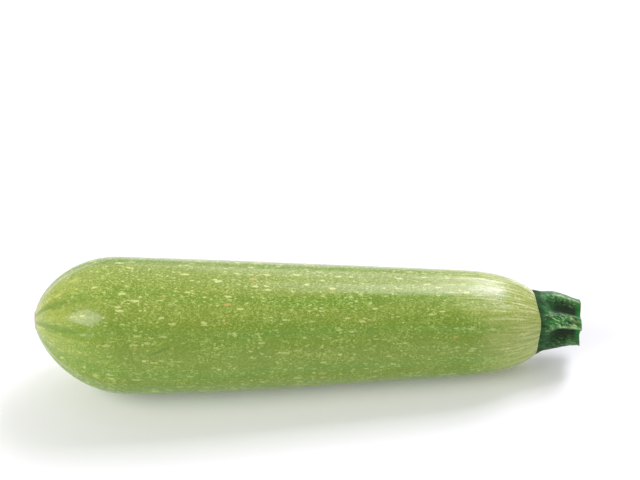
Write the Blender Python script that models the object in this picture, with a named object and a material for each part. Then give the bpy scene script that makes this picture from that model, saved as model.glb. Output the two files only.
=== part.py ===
"""A pale green zucchini lying on its side, as cut from the plant.

There are two solids. The fruit is a blunt club, thickest near its blossom end, with ten faint grooves
that run into the round scar of the blossom. The stem is the short, five-ridged stalk that it hung by,
seated in the dished end of the fruit and cut straight across.

Metres, +Z up. X runs from the blossom end to the stem, and the origin is under the middle, on the
surface that the fruit rests on. "Along" is a distance from the blossom tip, parallel to X. Angles
round the axis are in radians from +Y towards +Z.
"""

import math

import bmesh
import bpy

MM = 0.001
DEGREE = math.pi / 180

# Driving sizes of the whole
TOTAL_LENGTH = 200.0 * MM
RIM_ALONG = 182.7 * MM  # where the fruit's shoulder meets the stem
FRUIT_RADIUS = 25.2 * MM
CUT_RADIUS = 8.85 * MM  # of the stem's ridges, at the cut
MIDDLE_ALONG = 100.47 * MM  # halfway from the scar's ring to the far side of the tilted cut

# The fruit's outline: a rounded nose, a slow taper and a fuller shoulder
NOSE_LENGTH = 32.5 * MM
NOSE_POWER = 0.60  # 0.5 is an ellipse, and more is more pointed
TAPER = 0.055
TAPER_START = 51.5 * MM
TAPER_SOFTNESS = 15.0 * MM
SHOULDER_START = 155.0 * MM
SHOULDER_LENGTH = 34.0 * MM
SHOULDER_POWER = 2.65

# The axis: bowed sideways, and tilted so that the tapered underside lies on the surface
BOW = 1.75 * MM
BOW_PEAK = 0.33  # share of the length at which the bow is greatest
BOW_MIDDLE = 0.7  # share of the bow by which the ends stand back from the origin
LEVEL_ALONG = 116.0 * MM  # where the underside is parallel to the surface
FLAT_DEPTH = 0.4 * MM  # how far the rounded underside is pressed flat
NOSE_LIFT = 1.1 * MM
NOSE_LIFT_END = 50.0 * MM

# Ridges of the stem and ribs of the fruit share their places
RIDGES = 5
RIDGE_ANGLE = 141 * DEGREE  # the ridge that faces up and towards -Y
RIB_BODY, RIB_NOSE, RIB_SHOULDER = 0.005, 0.010, 0.020  # as shares of the radius
GROOVES = 2 * RIDGES
GROOVE_BODY, GROOVE_NOSE, GROOVE_SHOULDER = 0.003, 0.030, 0.010
GROOVE_HALF_WIDTH = 7 * DEGREE
GROOVE_WANDER = 11 * DEGREE
GROOVE_BEAT = 1.5  # sets how the wander differs from groove to groove
GROOVE_PHASE = 0.65
RIB_FADE = (3.6 * MM, 9.0 * MM)  # radii between which the ribs rise out of the scar

# The scar of the blossom: a corky ring round a shallow dimple with a nub
SCAR_RADIUS = 3.6 * MM
SCAR_RINGS = (0.9 * MM, 1.8 * MM, 2.6 * MM, 3.1 * MM)
SCAR_DIMPLE = 0.5 * MM
SCAR_RIM = 0.45 * MM
SCAR_RIM_RADIUS = 3.1 * MM
SCAR_RIM_WIDTH = 0.5 * MM
SCAR_NUB = 0.4 * MM
SCAR_NUB_WIDTH = 0.7 * MM

# The rim between fruit and stem wanders round the axis, and the end of the fruit is dished inside it
RIM_TILT = 0.6 * MM
RIM_OVAL = 0.55 * MM
RIM_LOBE = 0.2 * MM
SEAT_DEPTH = 2.2 * MM
SEAT_RINGS = (0.80, 0.55, 0.30)  # shares of the rim's radius
SEAT_GAP = 0.3 * MM

# The stem: a flared foot, then ridges with deep furrows between them, up to the cut
FOOT_RADIUS = 11.2 * MM
FOOT_CREASE = 0.2 * MM  # how far the foot's edge lies inside the fruit's rim
FOOT_BLEND = 0.22  # share of the stem's length over which the crease opens out
NARROWING = (0.25, 1.05)
FURROW_FOOT, FURROW_CUT = 0.03, 0.32
FURROW_DEEPENS = (0.06, 0.50)
FURROW_SIDES = (0.15, 0.95)  # how steeply a furrow's sides fall from the ridges
STEM_TWIST = 5 * DEGREE
STEM_BOW = 1.0 * MM
STEM_BOW_ANGLE = 51 * DEGREE
STEM_UNEVEN = 0.03
CUT_TILT = 0.07  # how much further the side that faces +Y reaches, as a share of its radius

# How finely the surfaces are drawn
FRUIT_AROUND = 80
STEM_AROUND = 120
NOSE_RINGS = 14
BODY_RINGS = 24
SHOULDER_RINGS = 14
STEM_RINGS = 16


def smoothstep(low, high, value):
    share = min(1.0, max(0.0, (value - low) / (high - low)))
    return share * share * (3 - 2 * share)


def fruit_radius(along):
    """The fruit's radius before ribs and grooves."""
    ramp = TAPER_SOFTNESS * math.log1p(math.exp((along - TAPER_START) / TAPER_SOFTNESS))
    radius = FRUIT_RADIUS - TAPER * ramp
    if along < NOSE_LENGTH:
        radius *= (1 - (1 - along / NOSE_LENGTH) ** 2) ** NOSE_POWER
    if along > SHOULDER_START:
        share = (along - SHOULDER_START) / SHOULDER_LENGTH
        radius *= math.sqrt(1 - share**SHOULDER_POWER)
    return radius


def from_ridge(angle):
    return angle - RIDGE_ANGLE


def groove_at(angle):
    """1 in the bottom of a groove, falling to 0 beside it."""
    depth = 0.0
    for k in range(GROOVES):
        wander = GROOVE_WANDER * math.sin(GROOVE_BEAT * k + GROOVE_PHASE)
        bottom = RIDGE_ANGLE + k * 2 * math.pi / GROOVES + wander
        off = math.remainder(angle - bottom, 2 * math.pi)
        depth += math.exp(-((off / GROOVE_HALF_WIDTH) ** 2))
    return depth


def fruit_surface_radius(along, angle):
    """The fruit's radius with its ribs and grooves."""
    radius = fruit_radius(along)
    nose = 1 - smoothstep(8 * MM, 60 * MM, along)
    shoulder = smoothstep(110 * MM, 178 * MM, along)
    creased = 1 - smoothstep(6 * MM, 34 * MM, along)
    rib = RIB_BODY * (1 - nose - shoulder) + RIB_NOSE * nose + RIB_SHOULDER * shoulder
    groove = GROOVE_BODY * (1 - creased - shoulder) + GROOVE_NOSE * creased + GROOVE_SHOULDER * shoulder
    relief = rib * math.cos(RIDGES * from_ridge(angle)) - groove * groove_at(angle)
    return radius * (1 + relief * smoothstep(*RIB_FADE, radius))


def axis_at(along):
    """Y and Z of the axis."""
    share = along / RIM_ALONG
    lean = (1 - BOW_PEAK) / BOW_PEAK
    bend = share * abs(1 - share) ** lean / (BOW_PEAK * (1 - BOW_PEAK) ** lean)
    sideways = BOW * (BOW_MIDDLE - bend)
    level = fruit_radius(LEVEL_ALONG) - FLAT_DEPTH
    lift = NOSE_LIFT * max(0.0, 1 - along / NOSE_LIFT_END) ** 2
    return sideways, level - TAPER * (along - LEVEL_ALONG) + lift


def place(along, angle, radius):
    y, z = axis_at(along)
    return (along - MIDDLE_ALONG, y + radius * math.cos(angle), z + radius * math.sin(angle))


def angles(count):
    return [RIDGE_ANGLE + 2 * math.pi * k / count for k in range(count)]


def scar_along(radius):
    """How far along the scar's surface lies, at a radius inside it."""
    rim = SCAR_RIM * math.exp(-(((radius - SCAR_RIM_RADIUS) / SCAR_RIM_WIDTH) ** 2))
    nub = SCAR_NUB * math.exp(-((radius / SCAR_NUB_WIDTH) ** 2))
    dimple = SCAR_DIMPLE * (1 - (radius / SCAR_RADIUS) ** 2)
    return scar_edge() + dimple - rim - nub


def scar_edge():
    """Where along the nose the skin meets the scar, by halving the stretch that holds it."""
    low, high = 0.0, NOSE_LENGTH
    for _ in range(40):
        middle = (low + high) / 2
        if fruit_radius(middle) < SCAR_RADIUS:
            low = middle
        else:
            high = middle
    return high


def rim_along(angle):
    """Where the fruit's shoulder ends and the stem begins."""
    off = from_ridge(angle)
    wave = RIM_TILT * math.cos(off) + RIM_OVAL * math.cos(2 * off) + RIM_LOBE * math.cos(RIDGES * off)
    return RIM_ALONG + wave


def rim_radius(angle):
    return fruit_surface_radius(rim_along(angle), angle)


def seat_ring(count, share, gap=0.0, crease=0.0):
    """A ring of the fruit's dished seat, or of the stem's foot, which is the same a gap away.

    The share is of the rim's radius.
    """
    points = []
    for angle in angles(count):
        floor = RIM_ALONG - SEAT_DEPTH
        along = floor + (rim_along(angle) - floor) * share**2
        points.append(place(along + gap, angle, share * (rim_radius(angle) - crease)))
    return points


def fruit_rings():
    """The skin's rings from the scar to the rim: close together on the nose and the shoulder."""
    start = scar_edge()
    stations = []
    for k in range(NOSE_RINGS):
        turn = k / NOSE_RINGS * math.pi / 2
        stations.append(start + (NOSE_LENGTH - start) * (1 - math.cos(turn)))
    for k in range(BODY_RINGS):
        stations.append(NOSE_LENGTH + (SHOULDER_START - NOSE_LENGTH) * k / BODY_RINGS)
    around = angles(FRUIT_AROUND)
    rings = [[place(s, a, fruit_surface_radius(s, a)) for a in around] for s in stations]
    for k in range(SHOULDER_RINGS + 1):
        share = math.sin(k / SHOULDER_RINGS * math.pi / 2)
        ring = []
        for angle in around:
            along = SHOULDER_START + (rim_along(angle) - SHOULDER_START) * share
            ring.append(place(along, angle, fruit_surface_radius(along, angle)))
        rings.append(ring)
    return rings


def stem_surface_radius(up, angle):
    """The stem's radius. "Up" runs from 0 at the rim to 1 at the cut."""
    off = from_ridge(angle) - STEM_TWIST * up
    furrow = smoothstep(*FURROW_SIDES, (1 - math.cos(RIDGES * off)) / 2)
    depth = FURROW_FOOT + (FURROW_CUT - FURROW_FOOT) * smoothstep(*FURROW_DEEPENS, up)
    ridge = FOOT_RADIUS + (CUT_RADIUS - FOOT_RADIUS) * smoothstep(*NARROWING, up)
    uneven = 1 + STEM_UNEVEN * up * math.cos(2 * off + 1)
    ridged = ridge * uneven * (1 - depth * furrow)
    foot = rim_radius(angle) - FOOT_CREASE
    return foot + (ridged - foot) * smoothstep(0, FOOT_BLEND, up)


def cut_along(angle, radius):
    return TOTAL_LENGTH + CUT_TILT * radius * math.cos(angle)


def stem_place(up, angle, radius):
    """A point of the stem, whose own axis bows a little between the rim and the cut."""
    start = rim_along(angle) + SEAT_GAP
    along = start + (cut_along(angle, radius) - start) * up
    x, y, z = place(along, angle, radius)
    bow = STEM_BOW * math.sin(math.pi * up)
    return x, y + bow * math.cos(STEM_BOW_ANGLE), z + bow * math.sin(STEM_BOW_ANGLE)


def stem_ring(up):
    return [stem_place(up, a, stem_surface_radius(up, a)) for a in angles(STEM_AROUND)]


def loft(name, start, rings, end):
    """A closed mesh through rings of points, with a point at each end."""
    mesh = bmesh.new()
    first = mesh.verts.new(start)
    loops = [[mesh.verts.new(point) for point in ring] for ring in rings]
    last = mesh.verts.new(end)
    count = len(rings[0])
    for k in range(count):
        after = (k + 1) % count
        mesh.faces.new((first, loops[0][k], loops[0][after]))
        for low, high in zip(loops, loops[1:]):
            mesh.faces.new((low[k], high[k], high[after], low[after]))
        mesh.faces.new((last, loops[-1][after], loops[-1][k]))
    bmesh.ops.recalc_face_normals(mesh, faces=mesh.faces)
    return finish_mesh(name, mesh)


def finish_mesh(name, mesh):
    data = bpy.data.meshes.new(name)
    mesh.to_mesh(data)
    mesh.free()
    data.shade_smooth()
    data.set_sharp_from_angle(angle=40 * DEGREE)
    thing = bpy.data.objects.new(name, data)
    bpy.context.scene.collection.objects.link(thing)
    return thing


def press_flat(thing):
    """Cuts the underside off at the surface that it rests on, and closes it with one flat face."""
    mesh = bmesh.new()
    mesh.from_mesh(thing.data)
    everything = mesh.verts[:] + mesh.edges[:] + mesh.faces[:]
    cut = bmesh.ops.bisect_plane(
        mesh, geom=everything, plane_co=(0, 0, 0), plane_no=(0, 0, 1), dist=1e-6, clear_inner=True
    )
    border = [edge for edge in cut["geom_cut"] if isinstance(edge, bmesh.types.BMEdge)]
    bmesh.ops.contextual_create(mesh, geom=border)
    for edge in border:
        edge.smooth = False
    bmesh.ops.recalc_face_normals(mesh, faces=mesh.faces)
    mesh.to_mesh(thing.data)
    mesh.free()


def material(name, colour, roughness):
    made = bpy.data.materials.new(name)
    made.use_nodes = True
    shader = made.node_tree.nodes["Principled BSDF"]
    shader.inputs["Base Color"].default_value = (*colour, 1)
    shader.inputs["Roughness"].default_value = roughness
    shader.inputs["Metallic"].default_value = 0
    return made


def make_fruit():
    scar = [[place(scar_along(r), a, r) for a in angles(FRUIT_AROUND)] for r in SCAR_RINGS]
    seat = [seat_ring(FRUIT_AROUND, share) for share in SEAT_RINGS]
    tip = place(scar_along(0), 0, 0)
    seat_floor = place(RIM_ALONG - SEAT_DEPTH, 0, 0)
    fruit = loft("fruit", tip, scar + fruit_rings() + seat, seat_floor)
    press_flat(fruit)
    fruit.data.materials.append(material("pale_green_skin", (0.27, 0.38, 0.08), 0.4))
    return fruit


def make_stem():
    foot = [seat_ring(STEM_AROUND, s, SEAT_GAP, FOOT_CREASE) for s in reversed(SEAT_RINGS)]
    ribs = [stem_ring(k / STEM_RINGS) for k in range(STEM_RINGS + 1)]
    foot_floor = place(RIM_ALONG - SEAT_DEPTH + SEAT_GAP, 0, 0)
    cut_middle = place(TOTAL_LENGTH, 0, 0)
    stem = loft("stem", foot_floor, foot + ribs, cut_middle)
    stem.data.materials.append(material("dark_green_stem", (0.05, 0.13, 0.04), 0.5))
    return stem


def main():
    for thing in list(bpy.data.objects):
        bpy.data.objects.remove(thing)
    make_fruit()
    make_stem()


main()
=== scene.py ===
"""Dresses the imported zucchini: its speckled skin, its ridged stem and the pale studio round it.

Metres, +Z up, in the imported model's own frame. "Along" is a distance from the blossom tip towards
the stem, "angle" is round the axis from +Y towards +Z, and "up" is a share of the stem's length.
"""

import math

import bpy
import numpy as np
from bpy.props import FloatProperty, FloatVectorProperty, PointerProperty
from mathutils import Euler, Matrix, Vector, noise


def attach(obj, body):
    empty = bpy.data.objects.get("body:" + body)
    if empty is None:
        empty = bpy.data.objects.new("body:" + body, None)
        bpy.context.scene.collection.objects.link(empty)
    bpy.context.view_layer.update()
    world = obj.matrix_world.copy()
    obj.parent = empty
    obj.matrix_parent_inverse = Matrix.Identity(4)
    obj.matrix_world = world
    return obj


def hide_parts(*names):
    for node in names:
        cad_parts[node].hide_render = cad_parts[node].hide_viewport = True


bl_info = {
    "name": "Speckled Zucchini",
    "version": (1, 0, 0),
    "blender": (4, 5, 0),
    "location": "3D View > Sidebar > Zucchini",
    "description": "Builds a pale green speckled zucchini with its stem, in a pale studio",
    "category": "Object",
}

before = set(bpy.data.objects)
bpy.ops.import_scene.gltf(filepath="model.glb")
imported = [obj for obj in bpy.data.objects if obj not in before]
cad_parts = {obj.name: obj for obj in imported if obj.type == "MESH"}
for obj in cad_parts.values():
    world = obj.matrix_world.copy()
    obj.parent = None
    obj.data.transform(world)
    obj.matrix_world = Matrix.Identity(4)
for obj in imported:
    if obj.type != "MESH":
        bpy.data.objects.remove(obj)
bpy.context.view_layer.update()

MM = 0.001
DEGREE = math.pi / 180

# The fruit's outline: a rounded nose, a slow taper and a fuller shoulder
NOSE_LENGTH = 32.5 * MM
NOSE_POWER = 0.60
TAPER_START = 51.5 * MM
TAPER_SOFTNESS = 15.0 * MM
SHOULDER_START = 155.0 * MM
SHOULDER_LENGTH = 34.0 * MM
SHOULDER_POWER = 2.65

MIDDLE_ALONG = 100.47 * MM

# The axis: bowed sideways, and tilted so that the tapered underside lies on the surface
BOW_PEAK = 0.33
BOW_MIDDLE = 0.7
LEVEL_ALONG = 116.0 * MM
FLAT_DEPTH = 0.4 * MM
NOSE_LIFT = 1.1 * MM
NOSE_LIFT_END = 50.0 * MM

# Ridges of the stem and ribs of the fruit share their places
RIDGES = 5
RIDGE_ANGLE = 141 * DEGREE
RIB_BODY, RIB_NOSE, RIB_SHOULDER = 0.005, 0.010, 0.020
GROOVES = 2 * RIDGES
GROOVE_BODY, GROOVE_NOSE, GROOVE_SHOULDER = 0.003, 0.030, 0.010
GROOVE_HALF_WIDTH = 7 * DEGREE
GROOVE_WANDER = 11 * DEGREE
GROOVE_BEAT = 1.5
GROOVE_PHASE = 0.65
RIB_FADE = (3.6 * MM, 9.0 * MM)  # the radius over which ribs and grooves start beside the scar
# Along the fruit: where the nose's ribs end, the shoulder's begin and the nose's grooves end
NOSE_END = (8 * MM, 60 * MM)
SHOULDER_RISE = (110 * MM, 178 * MM)
CREASE_END = (6 * MM, 34 * MM)

# The skin is uneven by less than 0.15 mm, and smooth beside the scar and the stem
UNEVEN_DEPTH = 0.07 * MM
UNEVEN_SPACING = 9 * MM
UNEVEN_STRETCH = (0.4, 1, 1)  # the bumps are longer along the fruit
UNEVEN_FROM = (4 * MM, 14 * MM)
UNEVEN_TO = (172 * MM, 180 * MM)

# The scar of the blossom
SCAR_RADIUS = 3.6 * MM
SCAR_MIDDLE = 0.15 * MM
SCAR_DIMPLE = 0.5 * MM
SCAR_RIM = 0.45 * MM
SCAR_RIM_RADIUS = 3.1 * MM
SCAR_RIM_WIDTH = 0.5 * MM
SCAR_NUB = 0.4 * MM
SCAR_NUB_WIDTH = 0.7 * MM

# The rim between fruit and stem, and the seat inside it
RIM_TILT = 0.6 * MM
RIM_OVAL = 0.55 * MM
RIM_LOBE = 0.2 * MM
SEAT_DEPTH = 2.2 * MM
SEAT_GAP = 0.1 * MM
SEAT_SHARES = (0.985, 0.95, 0.85, 0.6, 0.3)  # its rows, as shares of its radius

# Where the skin's colours change. A height is the sine of the angle, from -1 below to 1 on top.
SKIN_RADIUS = 25  # in millimetres, where the skin's pattern has its true width
SKIN_SOFTENING = 0.75  # the power of the radius by which the pattern narrows towards the ends
STREAK_RADIUS = 18  # in millimetres, of the tube from which the converging streaks are drawn in
CORK_EDGE = (3.7 * MM, 4.5 * MM)
# The upper side is painted lighter and yellower between these heights, as painted light
LIT_TOP_HEIGHTS = (0.45, 0.95)
PALE_START = 157  # in millimetres along, where the pale shoulder starts
# On the upper side the pale shoulder starts earlier, as painted light
PALE_EARLIER = 21  # in millimetres, how much earlier it starts on top
PALE_HEIGHTS = (0.6, 1.0)
PALE_FULL = 181 * MM
PALE_POWER = 0.85
# The nose's pale wash fades on its underside between these heights, as painted shade
TIP_END = (1 * MM, 30 * MM)
TIP_LEAST = 0.2
TIP_HEIGHTS = (-0.2, 0.5)

# The stem: a flared foot, then ridges with deep furrows between them, up to the cut
FOOT_RADIUS = 11.2 * MM
FOOT_SHARES = (0.3, 0.6, 0.85, 0.97)  # the rows of its underside, as shares of its radius
FOOT_CREASE = 0.1 * MM
FOOT_BLEND = 0.22
NARROWING = (0.25, 1.05)
FURROW_FOOT = 0.03
FURROW_DEEPENS = (0.06, 0.50)
FURROW_SIDES = (0.15, 0.95)
STEM_TWIST = 5 * DEGREE
STEM_BOW = 1.0 * MM
STEM_BOW_ANGLE = 51 * DEGREE
STEM_UNEVEN = 0.03
CUT_TILT = 0.07
CUT_DISH = 0.35 * MM
CUT_RAGGED = 0.2 * MM
CUT_SHARES = (0.985, 0.95, 0.9, 0.82, 0.74, 0.64, 0.52, 0.4, 0.26, 0.1)  # its rows, likewise
FOLD_TURN = 0.047 / MM  # how far the folds of the stalk turn round it, in radians a metre
FOLD_RADIUS = 9.5 * MM  # of the tube that the folds are worked out on
# The thin edge beside each ridge's crest, which starts this share of the way up the stem. It is
# also painted pale as a glint.
CREST_BESIDE = 11 * DEGREE
CREST_HALF_WIDTH = 2.4 * DEGREE
CREST_HEIGHT = 0.12 * MM
CREST_START = (0.3, 0.5)

# Where the stem's colours change, as shares up the stem, or as heights
# The furrows' painted shade darkens between these shares up the stem
FURROW_DARKENS = (0.1, 0.5)
# Scuffs and painted glints on the crests: where they start up the stem, and their least share
WORN_AND_GLINT_START = (0.02, 0.2)
WORN_AND_GLINT_LEAST = 0.35
DRIED_START = (0.55, 0.95)
UNDERSIDE_HEIGHTS = (-0.45, 0.5)
UNDERSIDE_END = (0.3, 0.8)
UNDERSIDE_SHADE, UNDERSIDE_LOSS = 0.7, 0.6
FOOT_SHADE = 0.6
FOOT_SHADE_END = 0.35
RIM_START = (0.84, 0.95)
RIM_LEAST, RIM_IN_FURROW = 0.35, 0.6

# How finely the surfaces are drawn, and the share of the UV map's height left free at each end
FRUIT_AROUND = 240
SCAR_ROWS, NOSE_ROWS, BODY_ROWS, SHOULDER_ROWS = 14, 64, 130, 50
STEM_AROUND, STEM_ROWS = 400, 140
UV_MARGIN = 0.01

# Where the camera stands: bearing, height angle and distance, and the point that it looks at
CAMERA_AZIMUTH = -3.77 * DEGREE
CAMERA_ELEVATION = 39 * DEGREE
CAMERA_DISTANCE = 0.95
CAMERA_AIM = (0.00443, 0.01767, 0.0474)
SENSOR_WIDTH = 36  # in millimetres, and so is the focal length
FOCAL_LENGTH = 146.5
CLIP_START = 10 * MM

# The floor reaches this far each way, and lies just low enough to stay clear of the fruit
FLOOR_REACH = 3.0
FLOOR_DROP = 0.05 * MM
LAMP_POWER = 4  # watts of a panel for each square metre and unit of radiance

# Blender's names for the nodes that are used most, and the setting of an eased rise
MATH, VECTOR_MATH, MAP_RANGE = "ShaderNodeMath", "ShaderNodeVectorMath", "ShaderNodeMapRange"
NOISE, ATTRIBUTE = "ShaderNodeTexNoise", "ShaderNodeAttribute"
EASED = {"interpolation_type": "SMOOTHSTEP"}


def linear(hex_colour):
    """The linear red, green and blue of an sRGB hex colour."""
    shares = [int(hex_colour[k : k + 2], 16) / 255 for k in (0, 2, 4)]
    return tuple(c / 12.92 if c <= 0.04045 else ((c + 0.055) / 1.055) ** 2.4 for c in shares)


def colour_property(name, description, hex_colour):
    """A colour of the settings, with its default as sRGB hex."""
    default = linear(hex_colour)
    return FloatVectorProperty(
        name=name, description=description, subtype="COLOR", min=0, max=1, default=default
    )


class FruitSettings(bpy.types.PropertyGroup):
    """Sizes and colours of the fruit."""

    rim_along: FloatProperty(
        name="Length to the Stem",
        description="From the blossom tip to the stem",
        default=182.7 * MM,
        unit="LENGTH",
    )
    radius: FloatProperty(
        name="Radius", description="Before the taper", default=25.2 * MM, unit="LENGTH"
    )
    taper: FloatProperty(
        name="Taper", description="How fast the radius falls towards the stem", default=0.055
    )
    bow: FloatProperty(
        name="Bow", description="How far the fruit bends sideways", default=1.75 * MM, unit="LENGTH"
    )
    skin: colour_property("Skin", "The green between the speckles", "728A26")
    band: colour_property("Band", "The fresher green of the long bands", "688C2A")
    lace: colour_property("Lace", "The fine pale net over the skin", "BACD6B")
    fleck: colour_property("Fleck", "The long cream flecks", "CDD486")
    rust: colour_property("Rust", "The few flecks that have gone orange", "C4AC5C")
    # Painted light: the lighter, yellower green that the upper side is given
    lit_top: colour_property("Crown", "The yellower green of the upper side", "82943C")
    groove: colour_property("Groove", "The dark lines that run into the scar", "5A7E26")
    shoulder: colour_property("Shoulder", "The yellow-green beside the stem", "B2BC6C")
    # Also laid over the upper side as a painted sheen
    streak: colour_property("Streak", "The cream streaks beside the stem", "DADCA6")
    ray: colour_property("Ray", "The yellow rays round the blossom scar", "C0C464")
    cork: colour_property("Cork", "The dry ring of the blossom scar", "BE9E80")


class StemSettings(bpy.types.PropertyGroup):
    """Sizes and colours of the stem."""

    length: FloatProperty(
        name="Whole Length",
        description="From the blossom tip to the cut of the stem",
        default=200.0 * MM,
        unit="LENGTH",
    )
    cut_radius: FloatProperty(
        name="Cut Radius", description="Of the ridges at the cut", default=8.85 * MM, unit="LENGTH"
    )
    furrow: FloatProperty(
        name="Furrow Depth",
        description="Share of the radius that a furrow takes at the cut",
        default=0.32,
        subtype="FACTOR",
    )
    wrinkle: FloatProperty(
        name="Wrinkle Depth",
        description="Of the folds of the skin",
        default=0.45 * MM,
        unit="LENGTH",
    )
    ridge: colour_property("Ridge", "The green of the ridges", "2C7030")
    # Painted shade: the near black of the furrows, also laid on the shaded underside and foot
    furrow_shade: colour_property("Furrow", "The near black of the furrows", "1A2C16")
    # Painted glints as well as scuffs on the crests
    crest_scuff_and_glint: colour_property("Crest", "The pale strokes on the crests", "AAD28E")
    dry: colour_property("Dry", "The straw-coloured streaks beside the cut", "9CA868")
    rim: colour_property("Rim", "The bright green edge of the cut", "227634")
    pith: colour_property("Pith", "The pale middle of the cut", "C6CF93")


class StageSettings(bpy.types.PropertyGroup):
    """Strength and colour of the studio."""

    fill: FloatProperty(name="Fill", description="Light from all round", default=0.34, min=0)
    glow: FloatProperty(name="Floor Glow", description="The floor's own light", default=0.1, min=0)
    key: FloatProperty(name="Key", description="Scales every panel's light", default=1.0, min=0)
    floor: colour_property("Floor", "The plain pale floor", "F0F0EE")


def smoothstep(low, high, value):
    """0 below the low value and 1 above the high one, with an eased rise between them."""
    share = np.clip((value - low) / (high - low), 0, 1)
    return share * share * (3 - 2 * share)


def body_radius(fruit, along):
    """The fruit's radius before ribs and grooves."""
    ramp = TAPER_SOFTNESS * np.log1p(np.exp((along - TAPER_START) / TAPER_SOFTNESS))
    nose = np.clip(1 - along / NOSE_LENGTH, 0, 1)
    shoulder = np.clip((along - SHOULDER_START) / SHOULDER_LENGTH, 0, 1)
    tapered = fruit.radius - fruit.taper * ramp
    return tapered * (1 - nose**2) ** NOSE_POWER * np.sqrt(1 - shoulder**SHOULDER_POWER)


def groove_at(angle):
    """1 in the bottom of a groove, falling to 0 beside it."""
    depth = 0
    for k in range(GROOVES):
        wander = GROOVE_WANDER * math.sin(GROOVE_BEAT * k + GROOVE_PHASE)
        bottom = RIDGE_ANGLE + k * 2 * math.pi / GROOVES + wander
        off = (angle - bottom + math.pi) % (2 * math.pi) - math.pi
        depth = depth + np.exp(-((off / GROOVE_HALF_WIDTH) ** 2))
    return depth


def surface_radius(fruit, along, angle):
    """The fruit's radius with its ribs and grooves."""
    radius = body_radius(fruit, along)
    nose = 1 - smoothstep(*NOSE_END, along)
    shoulder = smoothstep(*SHOULDER_RISE, along)
    creased = 1 - smoothstep(*CREASE_END, along)
    rib = RIB_BODY * (1 - nose - shoulder) + RIB_NOSE * nose + RIB_SHOULDER * shoulder
    groove = GROOVE_BODY * (1 - creased - shoulder) + GROOVE_NOSE * creased
    groove = groove + GROOVE_SHOULDER * shoulder
    relief = rib * np.cos(RIDGES * (angle - RIDGE_ANGLE)) - groove * groove_at(angle)
    return radius * (1 + relief * smoothstep(*RIB_FADE, radius))


def place(fruit, along, angle, radius):
    """Points at these distances along the bowed, tilted axis, and round it."""
    share = along / fruit.rim_along
    lean = (1 - BOW_PEAK) / BOW_PEAK
    bend = share * abs(1 - share) ** lean / (BOW_PEAK * (1 - BOW_PEAK) ** lean)
    level = body_radius(fruit, LEVEL_ALONG) - FLAT_DEPTH - fruit.taper * (along - LEVEL_ALONG)
    lift = NOSE_LIFT * np.clip(1 - along / NOSE_LIFT_END, 0, None) ** 2
    x, y, z = np.broadcast_arrays(
        along - MIDDLE_ALONG,
        fruit.bow * (BOW_MIDDLE - bend) + radius * np.cos(angle),
        level + lift + radius * np.sin(angle),
    )
    return np.stack([x, y, z], axis=-1)


def rim_along(fruit, angle):
    """Where the fruit's shoulder ends and the stem begins."""
    off = angle - RIDGE_ANGLE
    wave = RIM_TILT * np.cos(off) + RIM_OVAL * np.cos(2 * off) + RIM_LOBE * np.cos(RIDGES * off)
    return fruit.rim_along + wave


def seat_rows(fruit, shares, angle, gap=0.0, crease=0.0):
    """Along and radius of rows of the fruit's dished seat, or of the stem's foot a gap away."""
    rim = rim_along(fruit, angle)
    floor = fruit.rim_along - SEAT_DEPTH
    along = floor + (rim - floor) * shares**2 + gap
    return along, shares * (surface_radius(fruit, rim, angle) - crease)


def ring_angles(count):
    """The angles of this many points round the axis, from the first ridge on."""
    return RIDGE_ANGLE + 2 * math.pi * np.arange(count)[None, :] / count


def uneven(points, spacing, seed):
    """Smooth noise from -1 to 1 at points of space, with this spacing between its bumps."""
    moved = points.reshape(-1, 3) / spacing + seed
    found = [noise.noise(Vector(point)) for point in moved]
    return np.array(found).reshape(points.shape[:-1])


def with_ends(rows):
    """The values of every row in one list, with one before and one after for the closing points."""
    flat = rows.reshape(-1, *rows.shape[2:])
    return np.concatenate([rows[:1].mean(axis=1), flat, rows[-1:].mean(axis=1)])


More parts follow.
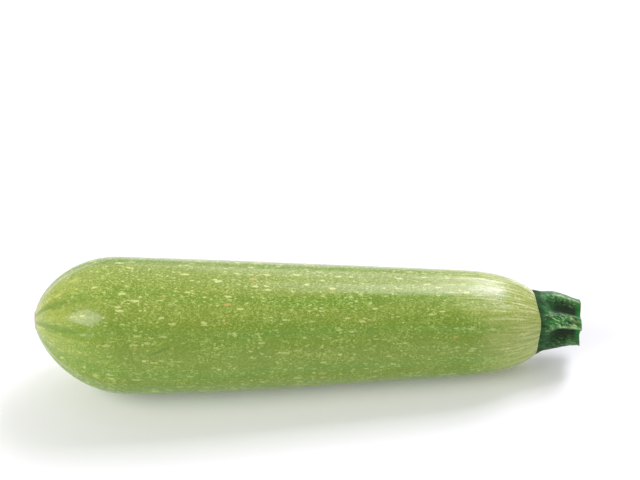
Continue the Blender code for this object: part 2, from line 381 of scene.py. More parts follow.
def closed_surface(name, rows, marks, slots):
    """A closed mesh through rows of points, with marks on its points and a material for each row.

    The UV map is laid out for baking: round the piece from left to right, and along it upwards.
    """
    count, around = rows.shape[:2]
    here = np.arange(around)
    after = (here + 1) % around
    starts = 1 + around * np.arange(count - 1)[:, None]
    upper = starts + around
    quads = np.stack([starts + here, starts + after, upper + after, upper + here], axis=-1)
    last = 1 + around * (count - 1)
    first_fan = np.stack([0 * here, 1 + after, 1 + here], axis=-1)
    last_fan = np.stack([last + around + 0 * here, last + here, last + after], axis=-1)
    faces = first_fan.tolist() + quads.reshape(-1, 4).tolist() + last_fan.tolist()
    mesh = bpy.data.meshes.new(name)
    mesh.from_pydata(with_ends(rows).tolist(), [], faces)

    steps = np.linalg.norm(np.diff(rows, axis=0), axis=-1).mean(axis=1)
    height = np.concatenate([[0], np.cumsum(steps)]) / steps.sum() * (1 - 2 * UV_MARGIN) + UV_MARGIN
    turn = np.broadcast_to(here / around, (count - 1, around))
    next_turn = turn + 1 / around
    low = np.broadcast_to(height[:-1, None], turn.shape)
    high = np.broadcast_to(height[1:, None], turn.shape)
    sides = np.stack([turn, low, next_turn, low, next_turn, high, turn, high], axis=-1)
    middle = (turn[0] + next_turn[0]) / 2
    bottom = 0 * middle + height[0]
    top = 0 * middle + height[-1]
    first_uv = np.stack([middle, 0 * middle, next_turn[0], bottom, turn[0], bottom], axis=-1)
    last_uv = np.stack([middle, 0 * middle + 1, turn[0], top, next_turn[0], top], axis=-1)
    layer = mesh.uv_layers.new(name="OFBake")
    layer.data.foreach_set("uv", np.concatenate([first_uv.ravel(), sides.ravel(), last_uv.ravel()]))

    for mark, values in marks.items():
        kind, key = ("FLOAT_VECTOR", "vector") if values.ndim == 3 else ("FLOAT", "value")
        layer = mesh.attributes.new(mark, kind, "POINT")
        layer.data.foreach_set(key, with_ends(values).astype(np.float32).ravel())
    on_row = np.repeat(slots, around)
    on_face = np.concatenate([on_row, on_row[-around:]]).astype(np.int32)
    mesh.polygons.foreach_set("material_index", on_face)
    mesh.shade_smooth()
    mesh.validate()
    piece = bpy.data.objects.new(name, mesh)
    bpy.context.scene.collection.objects.link(piece)
    return piece


def add(tree, kind, inputs=None, out=0, **settings):
    """Adds a node with its settings and links, and gives back one of its outputs."""
    node = tree.nodes.new(kind)
    for name, value in settings.items():
        setattr(node, name, value)
    for name, value in (inputs or {}).items():
        socket = node.inputs[name]
        if isinstance(value, bpy.types.NodeSocket):
            tree.links.new(value, socket)
        else:
            socket.default_value = (*value, 1) if socket.type == "RGBA" else value
    return node.outputs[out]


def new_material(name, ior, roughness=0.5):
    """A material and its shader, with the values that are the same all over it."""
    made = bpy.data.materials.new(name)
    made.use_nodes = True
    shader = made.node_tree.nodes["Principled BSDF"]
    shader.inputs["Roughness"].default_value = roughness
    shader.inputs["IOR"].default_value = ior
    return made, made.node_tree, shader


def layered(tree, colour, layers):
    """A colour with others laid over it in turn, each by its own share."""
    for share, over in layers:
        colour = add(tree, "ShaderNodeMix", {0: share, 6: colour, 7: over}, out=2, data_type="RGBA")
    return colour


def stretch(along, around):
    """What a place is multiplied by for a pattern this long and wide, all in millimetres."""
    return (1 / along, 1 / around, 1 / around)


def grain(tree, spot, along, around, detail, distortion=0.0):
    """Noise whose grains are this many millimetres long and wide."""
    cells = add(tree, VECTOR_MATH, {0: spot, 1: stretch(along, around)}, operation="MULTIPLY")
    inputs = {"Vector": cells, "Scale": 1.0, "Detail": detail, "Distortion": distortion}
    return add(tree, NOISE, inputs)


def speckles(tree, spot, along, around, likely, sizes):
    """Oval speckles, at most one to a cell of this size in millimetres, and how orange each is.

    Likely is the share of the cells that have one, and sizes are the least and the greatest
    half-width as shares of the cell.
    """
    cells = add(tree, VECTOR_MATH, {0: spot, 1: stretch(along, around)}, operation="MULTIPLY")
    distance = add(tree, "ShaderNodeTexVoronoi", {"Vector": cells, "Scale": 1.0}, out="Distance")
    chances = distance.node.outputs["Color"]
    picked, size, age = add(tree, "ShaderNodeSeparateColor", {0: chances}).node.outputs[:3]
    picked = add(tree, MATH, {0: picked, 1: likely}, operation="LESS_THAN")
    size = add(tree, MAP_RANGE, {"Value": size, "To Min": sizes[0], "To Max": sizes[1]})
    inside = add(tree, MATH, {0: size, 1: distance}, operation="SUBTRACT")
    inputs = {"Value": inside, "From Min": -0.02, "From Max": 0.10}
    inside = add(tree, MAP_RANGE, inputs, **EASED)
    return add(tree, MATH, {0: inside, 1: picked}, operation="MULTIPLY"), age


def near_line(tree, spot, start, end, half_width):
    """1 on a straight line between two places of the skin, falling to 0 beside it."""
    run = Vector(end) - Vector(start)
    ahead = tuple(run / run.length_squared)
    from_start = add(tree, VECTOR_MATH, {0: spot, 1: start}, operation="SUBTRACT")
    share = add(tree, VECTOR_MATH, {0: from_start, 1: ahead}, "Value", operation="DOT_PRODUCT")
    share = add(tree, "ShaderNodeClamp", {0: share})
    foot = add(tree, VECTOR_MATH, {0: tuple(run), "Scale": share}, operation="SCALE")
    gap = add(tree, VECTOR_MATH, {0: from_start, 1: foot}, "Value", operation="DISTANCE")
    inputs = {"Value": gap, "From Min": half_width, "From Max": 0.4 * half_width}
    return add(tree, MAP_RANGE, inputs, **EASED)


def waxy_speckled_skin(fruit):
    """Zucchini skin, grown and unpeeled: a thin cuticle of wax over green cells with pale speckles.

    The wax gives a smooth sheen with a fairly sharp edge. The speckles lie under it, so they
    change the colour a lot and the relief only a little.
    """
    made, tree, shader = new_material("waxy_speckled_skin", ior=1.45, roughness=0.18)
    place_mm, converging = (
        add(tree, ATTRIBUTE, out="Vector", attribute_name=mark)
        for mark in ("skin_place", "streak_place")
    )
    scar, lit_top, shoulder, groove, tip = (
        add(tree, ATTRIBUTE, out="Fac", attribute_name=mark)
        for mark in ("scar", "lit_top", "shoulder", "groove", "tip")
    )

    # Everything is nudged by up to 0.3 mm, so that no speckle has a drawn edge
    inputs = {"Vector": place_mm, "Scale": 1 / 0.9, "Detail": 1.0}
    nudge = add(tree, NOISE, inputs, out="Color")
    nudge = add(tree, VECTOR_MATH, {0: nudge, 1: (0.5, 0.5, 0.5)}, operation="SUBTRACT")
    nudge = add(tree, VECTOR_MATH, {0: nudge, 1: (1.4, 0.9, 0.9)}, operation="MULTIPLY")
    spot = add(tree, VECTOR_MATH, {0: place_mm, 1: nudge}, operation="ADD")
    converging = add(tree, VECTOR_MATH, {0: converging, 1: nudge}, operation="ADD")

    # Long bands of fresher green, about 50 mm by 6 mm, that favour the grooves
    band = grain(tree, spot, 50, 6, detail=2.0)
    band = add(tree, MATH, {0: groove, 1: 0.30, 2: band}, operation="MULTIPLY_ADD")
    band = add(tree, MAP_RANGE, {"Value": band, "From Min": 0.46, "From Max": 0.96}, **EASED)

    # Streaks 11 mm by 0.9 mm that run over the shoulder to the stem and over the nose to the scar.
    # The cream brush strokes are the crests of the same noise. They are painted strongest on the
    # upper side, where they also stand for a painted sheen.
    hair = grain(tree, converging, 11, 0.9, detail=2.0)
    brush_and_sheen = add(tree, MAP_RANGE, {"Value": hair, "From Min": 0.53, "From Max": 0.66}, **EASED)
    streak = add(tree, MAP_RANGE, {"Value": hair, "From Min": 0.36, "From Max": 0.60}, **EASED)
    ends = add(tree, MATH, {0: shoulder, 1: tip}, operation="MAXIMUM")
    washed = add(tree, MATH, {0: streak, 1: 0.6, 2: 0.4}, operation="MULTIPLY_ADD")
    pale_end = add(tree, MATH, {0: washed, 1: shoulder}, operation="MULTIPLY")
    above = add(tree, MAP_RANGE, {"Value": lit_top, "To Min": 0.22, "To Max": 1.0})
    above = add(tree, MATH, {0: above, 1: shoulder}, operation="MULTIPLY")
    brush_and_sheen = add(tree, MATH, {0: brush_and_sheen, 1: above}, operation="MULTIPLY")

    # Clouds 7 mm wide where the net is dense or thin, denser over the upper side, as painted
    # light, and over the nose
    cloud = add(tree, NOISE, {"Vector": spot, "Scale": 1 / 7, "Detail": 2.0})
    cloud = add(tree, MATH, {0: lit_top, 1: 0.16, 2: cloud}, operation="MULTIPLY_ADD")
    cloud = add(tree, MATH, {0: tip, 1: 0.10, 2: cloud}, operation="MULTIPLY_ADD")
    dense = add(tree, MAP_RANGE, {"Value": cloud, "From Min": 0.34, "From Max": 0.70}, **EASED)

    # The net: threads 0.3 mm wide along the middle values of a noise of 1.3 mm by 0.8 mm
    net = grain(tree, spot, 1.3, 0.8, detail=1.0)
    net = add(tree, MATH, {0: net, 1: 0.52}, operation="SUBTRACT")
    net = add(tree, MATH, {0: net}, operation="ABSOLUTE")
    net = add(tree, MAP_RANGE, {"Value": net, "From Min": 0.08, "From Max": 0.01}, **EASED)

    # Dots 0.2 to 0.9 mm long in three quarters of the cells of 1.25 mm by 0.85 mm
    dots, _ = speckles(tree, spot, 1.25, 0.85, likely=0.75, sizes=(0.10, 0.36))
    inputs = {0: net, 1: 0.60, 2: dots}
    lace = add(tree, MATH, inputs, operation="MULTIPLY_ADD", use_clamp=True)
    spare = add(tree, MAP_RANGE, {"Value": dense, "To Min": 0.38, "To Max": 0.92})
    lace = add(tree, MATH, {0: lace, 1: spare}, operation="MULTIPLY")
    # The pale net is painted fuller on the upper side, as painted light
    thinner = add(tree, MAP_RANGE, {"Value": lit_top, "To Min": 0.78, "To Max": 1.0})
    lace = add(tree, MATH, {0: lace, 1: thinner}, operation="MULTIPLY")

    # Grains about 1 mm long, and in rows along the fruit cream flecks of 1.5 to 4 mm. A few of the
    # flecks have gone orange.
    rows = grain(tree, spot, 40, 2.6, detail=0.0)
    inputs = {"Value": rows, "From Min": 0.3, "From Max": 0.7, "To Min": 0.10, "To Max": 0.62}
    often = add(tree, MAP_RANGE, inputs)
    grains, _ = speckles(tree, spot, 2.1, 1.05, likely=0.44, sizes=(0.16, 0.40))
    flecks, age = speckles(tree, spot, 4.8, 1.5, likely=often, sizes=(0.15, 0.41))
    orange = add(tree, MATH, {0: age, 1: 0.93}, operation="GREATER_THAN")
    orange = add(tree, MATH, {0: orange, 1: flecks}, operation="MULTIPLY")
    # The flecks are painted stronger on the upper side, as painted light
    strong = add(tree, MAP_RANGE, {"Value": lit_top, "To Min": 0.45, "To Max": 1.0})
    pale = add(tree, MATH, {0: grains, 1: 0.8}, operation="MULTIPLY")
    pale = add(tree, MATH, {0: pale, 1: flecks}, operation="MAXIMUM")
    pale = add(tree, MATH, {0: pale, 1: strong}, operation="MULTIPLY")
    cream = layered(tree, fruit.fleck, [(orange, fruit.rust)])

    # Rounder blots, 0.8 to 1.8 mm long, over the lower side
    blots, _ = speckles(tree, spot, 3.2, 2.2, likely=0.34, sizes=(0.12, 0.28))
    faint = add(tree, MAP_RANGE, {"Value": lit_top, "To Min": 0.62, "To Max": 0.0})
    blots = add(tree, MATH, {0: blots, 1: faint}, operation="MULTIPLY")

    # Yellow rays up to 6 mm by 1.6 mm on the nose
    few = add(tree, MATH, {0: tip, 1: 0.7}, operation="MULTIPLY")
    rays, _ = speckles(tree, converging, 6.5, 1.8, likely=few, sizes=(0.2, 0.45))
    yellow = add(tree, MATH, {0: washed, 1: 0.45, 2: rays}, operation="MULTIPLY_ADD")
    yellow = add(tree, MATH, {0: yellow, 1: tip}, operation="MULTIPLY", use_clamp=True)

    # The grooves of the nose are dark lines
    line = add(tree, MATH, {0: groove, 1: tip}, operation="MULTIPLY")
    line = add(tree, MATH, {0: line, 1: 0.65}, operation="MULTIPLY")

    # A healed scratch 8 mm long and 0.6 mm wide has stayed dark green
    scratch = near_line(tree, spot, (53.1, -24.0, 6.4), (60.8, -22.9, 9.5), half_width=0.45)
    scratch = add(tree, MATH, {0: scratch, 1: 0.8}, operation="MULTIPLY")

    # From the lowest layer to the topmost
    layers = (
        # The upper side's painted light
        (lit_top, fruit.lit_top),
        (band, fruit.band),
        (pale_end, fruit.shoulder),
        (lace, fruit.lace),
        (pale, cream),
        (blots, fruit.fleck),
        # The cream streaks, with a painted sheen on the upper side
        (brush_and_sheen, fruit.streak),
        (yellow, fruit.ray),
        (line, fruit.groove),
        (scratch, fruit.groove),
        (scar, fruit.cork),
    )
    tree.links.new(layered(tree, fruit.skin, layers), shader.inputs["Base Color"])

    # Speckles stand about 0.02 mm proud, and streaks ripple the wax at both ends
    raised = add(tree, MATH, {0: lace, 1: 0.5, 2: pale}, operation="MULTIPLY_ADD")
    ripple = add(tree, MATH, {0: ends, 1: 2.2, 2: 0.2}, operation="MULTIPLY_ADD")
    raised = add(tree, MATH, {0: streak, 1: ripple, 2: raised}, operation="MULTIPLY_ADD")
    bump = add(tree, "ShaderNodeBump", {"Strength": 1.0, "Distance": 0.014 * MM, "Height": raised})
    tree.links.new(bump, shader.inputs["Normal"])
    return made


def dry_cork_scar(fruit):
    """The scar where the blossom fell off: dead, dried tissue, matt and tan with darker pores."""
    made, tree, shader = new_material("dry_cork_scar", ior=1.45, roughness=0.75)
    spot = add(tree, ATTRIBUTE, out="Vector", attribute_name="skin_place")
    # Pores 0.7 mm apart
    pores = add(tree, NOISE, {"Vector": spot, "Scale": 1 / 0.7, "Detail": 3.0})
    dark = tuple(0.45 * share for share in fruit.cork)
    tree.links.new(layered(tree, fruit.cork, [(pores, dark)]), shader.inputs["Base Color"])
    bump = add(tree, "ShaderNodeBump", {"Strength": 0.8, "Distance": 0.1 * MM, "Height": pores})
    tree.links.new(bump, shader.inputs["Normal"])
    return made


def tough_ridged_stalk(stem):
    """Zucchini stalk: a tough, fibrous skin that has wrinkled a little since it was cut.

    It is dark and satiny on the ridges, pale with scratches and painted glints on the crests, and
    dull in the furrows, which are painted nearly black as shade, as are the underside and foot.
    """
    made, tree, shader = new_material("tough_ridged_stalk", ior=1.4)
    spot = add(tree, ATTRIBUTE, out="Vector", attribute_name="skin_place")
    furrow_shade, worn_and_glints, dried, edge, near_cut, shade = (
        add(tree, ATTRIBUTE, out="Fac", attribute_name=mark)
        for mark in ("furrow", "worn_and_glints", "dried", "crest_glint_line", "near_cut", "shade")
    )

    # Mottling 3.2 mm by 1.5 mm between a lighter and a darker green
    mottle = grain(tree, spot, 3.2, 1.5, detail=4.0)
    inputs = {"Value": mottle, "From Min": 0.36, "From Max": 0.66, "To Min": 0.35, "To Max": 1.5}
    mottle = add(tree, MAP_RANGE, inputs)
    inputs = {0: tuple(stem.ridge), "Scale": mottle}
    mottled = add(tree, VECTOR_MATH, inputs, operation="SCALE")

    # Pale threads 0.3 mm wide, broken by gaps of 1.6 mm: worn scratches and painted glints
    thread = grain(tree, spot, 6.5, 0.7, detail=1.0, distortion=0.3)
    thread = add(tree, MATH, {0: thread, 1: 0.5}, operation="SUBTRACT")
    thread = add(tree, MATH, {0: thread}, operation="ABSOLUTE")
    inputs = {"Value": thread, "From Min": 0.08, "From Max": 0.02}
    thread = add(tree, MAP_RANGE, inputs, **EASED)
    gaps = add(tree, NOISE, {"Vector": spot, "Scale": 1 / 1.6, "Detail": 1.0})
    gaps = add(tree, MAP_RANGE, {"Value": gaps, "From Min": 0.42, "From Max": 0.58}, **EASED)
    thread = add(tree, MATH, {0: thread, 1: gaps}, operation="MULTIPLY")

    # Pale strokes up to 3.2 mm by 0.4 mm and pimples up to 1.1 mm by 0.5 mm, partly scuffs and
    # partly painted glints
    strokes, _ = speckles(tree, spot, 4.0, 0.55, likely=0.42, sizes=(0.16, 0.4))
    glint_pimples, _ = speckles(tree, spot, 1.5, 0.7, likely=0.32, sizes=(0.14, 0.38))
    glint_pimples = add(tree, MATH, {0: glint_pimples, 1: 0.6}, operation="MULTIPLY")
    marks = add(tree, MATH, {0: strokes, 1: glint_pimples}, operation="MAXIMUM")
    marks = add(tree, MATH, {0: marks, 1: thread}, operation="MAXIMUM")
    # Scuffs and painted glints on the crests, most on the ridge that faces the camera
    scratch = add(tree, MATH, {0: marks, 1: worn_and_glints}, operation="MULTIPLY")
    # The pale line beside each crest is a painted glint
    broken = add(tree, MAP_RANGE, {"Value": gaps, "To Min": 0.45, "To Max": 1.0})
    edge = add(tree, MATH, {0: edge, 1: broken}, operation="MULTIPLY")
    scratch = add(tree, MATH, {0: scratch, 1: edge}, operation="MAXIMUM")

    # Straw-coloured streaks 6 mm by 0.8 mm where the skin has dried
    straw = grain(tree, spot, 6, 0.8, detail=2.0)
    straw = add(tree, MAP_RANGE, {"Value": straw, "From Min": 0.44, "From Max": 0.62}, **EASED)
    straw = add(tree, MATH, {0: straw, 1: dried}, operation="MULTIPLY")
    layers = (
        # The furrows, the underside and the foot are painted near black as shade
        (furrow_shade, stem.furrow_shade),
        (straw, stem.dry),
        (scratch, stem.crest_scuff_and_glint),
        (shade, stem.furrow_shade),
        (near_cut, stem.rim),
    )
    tree.links.new(layered(tree, mottled, layers), shader.inputs["Base Color"])
    dull = add(tree, MATH, {0: shade, 1: furrow_shade}, operation="MAXIMUM")
    inputs = {"Value": dull, "From Max": 0.5, "To Min": 0.30, "To Max": 0.8}
    tree.links.new(add(tree, MAP_RANGE, inputs), shader.inputs["Roughness"])

    # Fibres 0.5 mm apart, and pimples
    fibre = grain(tree, spot, 6, 0.5, detail=2.0)
    coarse = add(tree, NOISE, {"Vector": spot, "Scale": 1 / 0.9, "Detail": 3.0})
    height = add(tree, MATH, {0: fibre, 1: 0.6, 2: coarse}, operation="MULTIPLY_ADD")
    height = add(tree, MATH, {0: scratch, 1: 0.5, 2: height}, operation="MULTIPLY_ADD")
    bump = add(tree, "ShaderNodeBump", {"Strength": 1.0, "Distance": 0.25 * MM, "Height": height})
    tree.links.new(bump, shader.inputs["Normal"])
    return made


def cut_pith(stem):
    """The knife's cut through the stalk: moist pale pith, a ring of vessels and a green edge."""
    made, tree, shader = new_material("cut_pith", ior=1.4, roughness=0.45)
    spot = add(tree, ATTRIBUTE, out="Vector", attribute_name="skin_place")
    share = add(tree, ATTRIBUTE, out="Fac", attribute_name="cut_share")
    # Pores 0.9 mm apart, which also shake the ring and the edge
    blur = add(tree, NOISE, {"Vector": spot, "Scale": 1 / 0.9, "Detail": 3.0})
    shaken = add(tree, MATH, {0: blur, 1: 0.16, 2: share}, operation="MULTIPLY_ADD")
    edge = add(tree, MAP_RANGE, {"Value": shaken, "From Min": 0.86, "From Max": 1.04}, **EASED)
    ring = add(tree, MATH, {0: shaken, 1: 0.74}, operation="SUBTRACT")
    ring = add(tree, MATH, {0: ring}, operation="ABSOLUTE")
    inputs = {"Value": ring, "From Min": 0.07, "From Max": 0.0, "To Min": 0.0, "To Max": 0.5}
    ring = add(tree, MAP_RANGE, inputs)
    layers = ((ring, stem.ridge), (edge, stem.rim))
    tree.links.new(layered(tree, stem.pith, layers), shader.inputs["Base Color"])
    bump = add(tree, "ShaderNodeBump", {"Strength": 0.7, "Distance": 0.1 * MM, "Height": blur})
    tree.links.new(bump, shader.inputs["Normal"])
    return made


def scar_rows(fruit, angle):
    """Along and radius of the scar's rows, from its middle to the skin."""
    # The nose is as wide as the scar here, to the nearest hundredth of a millimetre
    edges = np.linspace(0, NOSE_LENGTH, 4000)
    edge = edges[np.searchsorted(body_radius(fruit, edges), SCAR_RADIUS)]
    radius = np.linspace(SCAR_MIDDLE, SCAR_RADIUS, SCAR_ROWS, endpoint=False)[:, None] + 0 * angle
    rim = SCAR_RIM * np.exp(-(((radius - SCAR_RIM_RADIUS) / SCAR_RIM_WIDTH) ** 2))
    nub = SCAR_NUB * np.exp(-((radius / SCAR_NUB_WIDTH) ** 2))
    dimple = SCAR_DIMPLE * (1 - (radius / SCAR_RADIUS) ** 2)
    return edge, edge + dimple - rim - nub, radius


class ZUCCHINI_OT_fruit(bpy.types.Operator):
    """Build the fruit: its ribbed body, the scar of the blossom and the seat of the stem"""

    bl_idname = "zucchini.fruit"
    bl_label = "Build Fruit"

    def execute(self, context):
        fruit = context.scene.zucchini_fruit
        angle = ring_angles(FRUIT_AROUND)
        edge, scar_along, scar_radius = scar_rows(fruit, angle)

        turn = np.linspace(0, math.pi / 2, NOSE_ROWS, endpoint=False)[:, None]
        nose = edge + (NOSE_LENGTH - edge) * (1 - np.cos(turn)) + 0 * angle
        body = np.linspace(NOSE_LENGTH, SHOULDER_START, BODY_ROWS, endpoint=False)
        body = body[:, None] + 0 * angle
        turn = np.linspace(0, math.pi / 2, SHOULDER_ROWS)[:, None]
        shoulder = SHOULDER_START + (rim_along(fruit, angle) - SHOULDER_START) * np.sin(turn)
        skin_along = np.concatenate([nose, body, shoulder])
        skin_radius = surface_radius(fruit, skin_along, angle)
        seat_along, seat_radius = seat_rows(fruit, np.array(SEAT_SHARES)[:, None], angle)

        along = np.concatenate([scar_along, skin_along, seat_along])
        radius = np.concatenate([scar_radius, skin_radius, seat_radius])
        rows = place(fruit, along, angle, radius)
        ease = smoothstep(*UNEVEN_FROM, radius) * (1 - smoothstep(*UNEVEN_TO, along))
        bumps = uneven(rows * UNEVEN_STRETCH, UNEVEN_SPACING, seed=3.7)
        radius = radius - UNEVEN_DEPTH * ease * (1 - bumps)
        rows = place(fruit, along, angle, radius)
        # The underside is flat where it rests
        rows[..., 2] = np.maximum(rows[..., 2], 0)

        # The skin's own coordinates in millimetres: along the meridian, and round a softened radius
        steps = np.hypot(np.diff(along, axis=0), np.diff(radius, axis=0))
        meridian = np.concatenate([0 * angle, np.cumsum(steps, axis=0)]) / MM
        drawn = (radius / MM) ** SKIN_SOFTENING * SKIN_RADIUS ** (1 - SKIN_SOFTENING)
        tube = STREAK_RADIUS + 0 * along
        height = np.sin(angle)
        # The pale shoulder starts earlier on the upper side, as painted light
        pale_start = (PALE_START - PALE_EARLIER * smoothstep(*PALE_HEIGHTS, height)) * MM
        # The nose's pale wash is weaker on the underside, as painted shade
        above = TIP_LEAST + (1 - TIP_LEAST) * smoothstep(*TIP_HEIGHTS, height)
        marks = {
            "skin_place": np.stack([meridian, drawn * np.cos(angle), drawn * height], axis=-1),
            "streak_place": np.stack([meridian, tube * np.cos(angle), tube * height], axis=-1),
            "scar": (1 - smoothstep(*CORK_EDGE, radius)) * (along < NOSE_LENGTH),
            # The upper side, which is painted lighter as painted light
            "lit_top": smoothstep(*LIT_TOP_HEIGHTS, height + 0 * along),
            "shoulder": smoothstep(pale_start, PALE_FULL, along) ** PALE_POWER,
            "tip": (1 - smoothstep(*TIP_END, along)) * above,
            "groove": groove_at(angle) + 0 * along,
        }
        slots = np.zeros(len(rows), int)
        slots[: len(scar_along)] = 1
        piece = closed_surface("fruit_skin", rows, marks, slots)
        piece.data.materials.append(waxy_speckled_skin(fruit))
        piece.data.materials.append(dry_cork_scar(fruit))
        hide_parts("fruit")
        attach(piece, "root")
        return {"FINISHED"}


class ZUCCHINI_OT_stem(bpy.types.Operator):
    """Build the stem: its foot in the fruit, five wrinkled ridges and the cut"""

    bl_idname = "zucchini.stem"
    bl_label = "Build Stem"

    def execute(self, context):
        fruit = context.scene.zucchini_fruit
        stem = context.scene.zucchini_stem
        angle = ring_angles(STEM_AROUND)
        shares = np.array(FOOT_SHARES)[:, None]
        foot_along, foot_radius = seat_rows(fruit, shares, angle, SEAT_GAP, FOOT_CREASE)

        up = np.linspace(0, 1, STEM_ROWS)[:, None]
        off = angle - RIDGE_ANGLE - STEM_TWIST * up
        furrow = smoothstep(*FURROW_SIDES, (1 - np.cos(RIDGES * off)) / 2)
        depth = FURROW_FOOT + (stem.furrow - FURROW_FOOT) * smoothstep(*FURROW_DEEPENS, up)
        ridge = FOOT_RADIUS + (stem.cut_radius - FOOT_RADIUS) * smoothstep(*NARROWING, up)
        ridged = ridge * (1 + STEM_UNEVEN * up * np.cos(2 * off + 1)) * (1 - depth * furrow)
        rim = rim_along(fruit, angle)
        foot = surface_radius(fruit, rim, angle) - FOOT_CREASE
        wall_radius = foot + (ridged - foot) * smoothstep(0, FOOT_BLEND, up)
        half_turn = math.pi / RIDGES
        from_line = (off - CREST_BESIDE + half_turn) % (2 * half_turn) - half_turn
        crest_glint_line = np.exp(-((from_line / CREST_HALF_WIDTH) ** 2)) * smoothstep(*CREST_START, up)
        # The cut is a little ragged: it runs out at one side of a ridge and back in the furrows
        lobes = np.sin(RIDGES * (angle - RIDGE_ANGLE)) + 0.4 * np.sin(3 * angle + 1)
        ragged = CUT_RAGGED * (lobes - 1.4)
        cut_along = stem.length + CUT_TILT * wall_radius[-1:] * np.cos(angle) + ragged
        wall_along = rim + SEAT_GAP + (cut_along - rim - SEAT_GAP) * up

        turned = angle - FOLD_TURN * (wall_along - fruit.rim_along)
        across, above = FOLD_RADIUS * np.cos(turned), FOLD_RADIUS * np.sin(turned)
        spots = np.stack([wall_along, across, above], axis=-1)
        outer = np.clip(np.cos(angle - RIDGE_ANGLE), 0, 1) ** 2
        wrinkle = stem.wrinkle * (0.5 + 0.5 * outer)
        wall_radius = wall_radius - wrinkle * self.folds(spots, up) + CREST_HEIGHT * crest_glint_line

        shares = np.array(CUT_SHARES)[:, None]
        cut_radius = shares * wall_radius[-1:]
        cut_face = stem.length + CUT_TILT * cut_radius * np.cos(angle) + ragged * shares**3
        cut_face = cut_face - CUT_DISH * (1 - shares**4)

        along = np.concatenate([foot_along, wall_along, cut_face])
        radius = np.concatenate([foot_radius, wall_radius, cut_radius])
        ups = np.concatenate([0 * foot_along, up + 0 * angle, 1 + 0 * cut_face])
        rows = place(fruit, along, angle, radius)
        bow = STEM_BOW * np.sin(math.pi * ups)
        rows[..., 1] += bow * math.cos(STEM_BOW_ANGLE)
        rows[..., 2] += bow * math.sin(STEM_BOW_ANGLE)

        # The ridge that lies furthest out, the one facing the camera, is worn and dried the most
        # and carries the most painted glints
        wall = slice(len(foot_along), -len(cut_face))
        furrow_shade, worn_and_glints, dried, line = np.zeros((4, *along.shape))
        # The furrows are painted near black as shade, more so up the stem
        furrow_shade[wall] = furrow * smoothstep(*FURROW_DARKENS, up)
        wear_and_glint = WORN_AND_GLINT_LEAST + (1 - WORN_AND_GLINT_LEAST) * outer
        worn_and_glints[wall] = (1 - furrow) * smoothstep(*WORN_AND_GLINT_START, up) * wear_and_glint
        dried[wall] = (1 - furrow) * smoothstep(*DRIED_START, up) * outer
        # The pale line beside each crest, a painted glint
        line[wall] = crest_glint_line
        share = np.zeros(along.shape)
        share[-len(cut_face) :] = shares
        turned = angle - FOLD_TURN * (along - fruit.rim_along)
        skin_place = [along / MM, radius / MM * np.cos(turned), radius / MM * np.sin(turned)]
        below = smoothstep(*UNDERSIDE_HEIGHTS, -np.sin(angle))
        below = below * (1 - UNDERSIDE_LOSS * smoothstep(*UNDERSIDE_END, ups))
        foot_shade = FOOT_SHADE * (1 - smoothstep(0.0, FOOT_SHADE_END, ups))
        marks = {
            "skin_place": np.stack(skin_place, axis=-1),
            "shade": np.maximum(UNDERSIDE_SHADE * below, foot_shade),
            "furrow": furrow_shade,
            "worn_and_glints": worn_and_glints,
            "dried": dried,
            "crest_glint_line": line,
            "near_cut": smoothstep(*RIM_START, ups) * (RIM_LEAST + RIM_IN_FURROW * furrow_shade),
            "cut_share": share,
        }
        slots = np.zeros(len(rows), int)
        slots[-len(cut_face) - 1 :] = 1
        piece = closed_surface("stem_stalk", rows, marks, slots)
        piece.data.materials.append(tough_ridged_stalk(stem))
        piece.data.materials.append(cut_pith(stem))
        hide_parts("stem")
        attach(piece, "root")
        return {"FINISHED"}

    def folds(self, points, up):
        """Depth of the stalk's wrinkles, from 0 to about 1: long folds, dents and small bumps.

        The first factor beside the points draws each kind out along the stalk.
        """
        long_folds = 1 - abs(uneven(points * (0.3, 1, 1), 1.4 * MM, seed=11.3)) * 1.4
        dents = uneven(points * (0.6, 1, 1), 2.2 * MM, seed=5.1) * 0.5 + 0.5
        bumps = uneven(points * (0.7, 1, 1), 0.8 * MM, seed=8.9) * 0.5 + 0.5
        mixed = 0.6 * np.clip(long_folds, 0, 1) ** 2 + 0.5 * dents + 0.3 * bumps
        return mixed * smoothstep(0.0, 0.12, up) * (1 - 0.6 * smoothstep(0.93, 1.0, up))


def bearing(azimuth, elevation):
    """The direction at this bearing and height angle, and how a lamp or camera there is turned."""
    level = math.cos(elevation)
    way = Vector((math.sin(azimuth) * level, -math.cos(azimuth) * level, math.sin(elevation)))
    return way, Euler((math.pi / 2 - elevation, 0, azimuth))


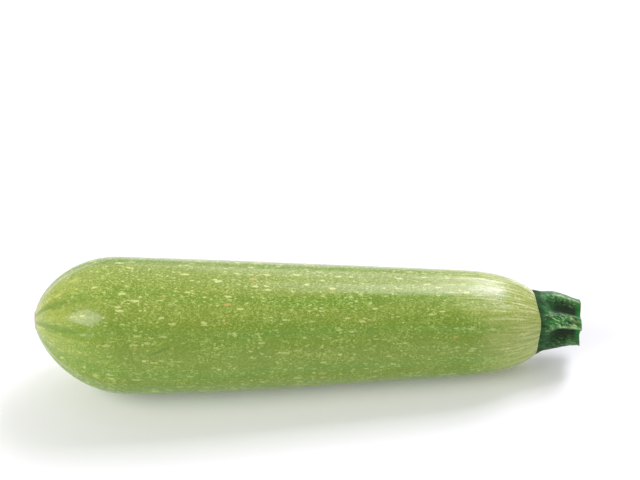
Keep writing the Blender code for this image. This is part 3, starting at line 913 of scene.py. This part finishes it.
class ZUCCHINI_OT_stage(bpy.types.Operator):
    """Build the studio: a pale floor, soft panels of light, fill from all round and the camera"""

    bl_idname = "zucchini.stage"
    bl_label = "Build Stage"

    # Name, then bearing, height angle and roll in degrees, distance, width and height in metres,
    # radiance and colour. The key panels are a slightly cool white, which keeps the sheen neutral.
    PANELS = (
        ("key_panel", 130, 51.5, 53, 1.2, 0.34, 0.40, 11.4, "EEE9FF"),
        ("low_key_panel", 150, 34, 41, 1.2, 0.31, 0.42, 5.4, "EEE9FF"),
        ("high_wing_panel", 144, 61, 48, 1.2, 0.18, 0.45, 4.0, "FFFFFF"),
        ("wing_panel", 163, 36, 34, 1.3, 0.27, 1.00, 1.3, "FFFFFF"),
        ("side_panel", -60, 35, 0, 1.2, 0.76, 0.80, 4.0, "FFFFFF"),
        ("back_panel", 180, 32, 0, 1.8, 3.40, 1.80, 0.35, "FFFFFF"),
        ("front_panel", 5, 16, 0, 1.6, 2.40, 0.80, 0.35, "FFFFFF"),
    )

    def execute(self, context):
        scene = context.scene
        stage = scene.zucchini_stage
        self.floor(scene, stage)
        for name, azimuth, elevation, roll, away, width, height, radiance, colour in self.PANELS:
            lamp = bpy.data.lights.new(name, "AREA")
            lamp.shape = "RECTANGLE"
            lamp.size = width
            lamp.size_y = height
            lamp.energy = LAMP_POWER * radiance * stage.key * width * height
            lamp.color = linear(colour)
            panel = bpy.data.objects.new(name, lamp)
            way, upright = bearing(azimuth * DEGREE, elevation * DEGREE)
            rolled = upright.to_matrix() @ Matrix.Rotation(roll * DEGREE, 3, "Z")
            panel.location = away * way
            panel.rotation_euler = rolled.to_euler()
            scene.collection.objects.link(panel)
        world = bpy.data.worlds.new("pale_fill")
        world.use_nodes = True
        world.node_tree.nodes["Background"].inputs["Color"].default_value = (1, 1, 1, 1)
        world.node_tree.nodes["Background"].inputs["Strength"].default_value = stage.fill
        scene.world = world
        self.camera(scene)
        scene.view_settings.view_transform = "Standard"
        return {"FINISHED"}

    def floor(self, scene, stage):
        """A board that is painted pale and matt, so it shows a soft shadow and no reflection."""
        mesh = bpy.data.meshes.new("floor")
        corners = [(-1, -1), (1, -1), (1, 1), (-1, 1)]
        points = [(FLOOR_REACH * x, FLOOR_REACH * y, -FLOOR_DROP) for x, y in corners]
        mesh.from_pydata(points, [], [(0, 1, 2, 3)])
        floor = bpy.data.objects.new("floor", mesh)
        made, _, shader = new_material("matt_pale_board", ior=1.45, roughness=0.9)
        shader.inputs["Base Color"].default_value = (*stage.floor, 1)
        shader.inputs["Emission Color"].default_value = (1, 1, 1, 1)
        shader.inputs["Emission Strength"].default_value = stage.glow
        mesh.materials.append(made)
        scene.collection.objects.link(floor)

    def camera(self, scene):
        """A long lens that looks down on the fruit from the front, a little to the left."""
        lens = bpy.data.cameras.new("camera")
        lens.sensor_width = SENSOR_WIDTH
        lens.lens = FOCAL_LENGTH
        lens.clip_start = CLIP_START
        camera = bpy.data.objects.new("camera", lens)
        back, upright = bearing(CAMERA_AZIMUTH, CAMERA_ELEVATION)
        camera.location = Vector(CAMERA_AIM) + CAMERA_DISTANCE * back
        camera.rotation_euler = upright
        scene.collection.objects.link(camera)
        scene.camera = camera


class ZUCCHINI_PT_panel(bpy.types.Panel):
    """Lists the zucchini's settings and the buttons that build it"""

    bl_idname = "ZUCCHINI_PT_panel"
    bl_label = "Speckled Zucchini"
    bl_space_type = "VIEW_3D"
    bl_region_type = "UI"
    bl_category = "Zucchini"

    def draw(self, context):
        groups = (
            (context.scene.zucchini_fruit, "zucchini.fruit"),
            (context.scene.zucchini_stem, "zucchini.stem"),
            (context.scene.zucchini_stage, "zucchini.stage"),
        )
        for settings, operator in groups:
            box = self.layout.box()
            for name in settings.__annotations__:
                box.prop(settings, name)
            box.operator(operator)


CLASSES = (
    FruitSettings,
    StemSettings,
    StageSettings,
    ZUCCHINI_OT_fruit,
    ZUCCHINI_OT_stem,
    ZUCCHINI_OT_stage,
    ZUCCHINI_PT_panel,
)


def register():
    for made in CLASSES:
        bpy.utils.register_class(made)
    bpy.types.Scene.zucchini_fruit = PointerProperty(type=FruitSettings)
    bpy.types.Scene.zucchini_stem = PointerProperty(type=StemSettings)
    bpy.types.Scene.zucchini_stage = PointerProperty(type=StageSettings)


def unregister():
    del bpy.types.Scene.zucchini_fruit
    del bpy.types.Scene.zucchini_stem
    del bpy.types.Scene.zucchini_stage
    for made in reversed(CLASSES):
        bpy.utils.unregister_class(made)


def main():
    register()
    bpy.ops.zucchini.fruit()
    bpy.ops.zucchini.stem()
    bpy.ops.zucchini.stage()


if __name__ == "__main__":
    main()
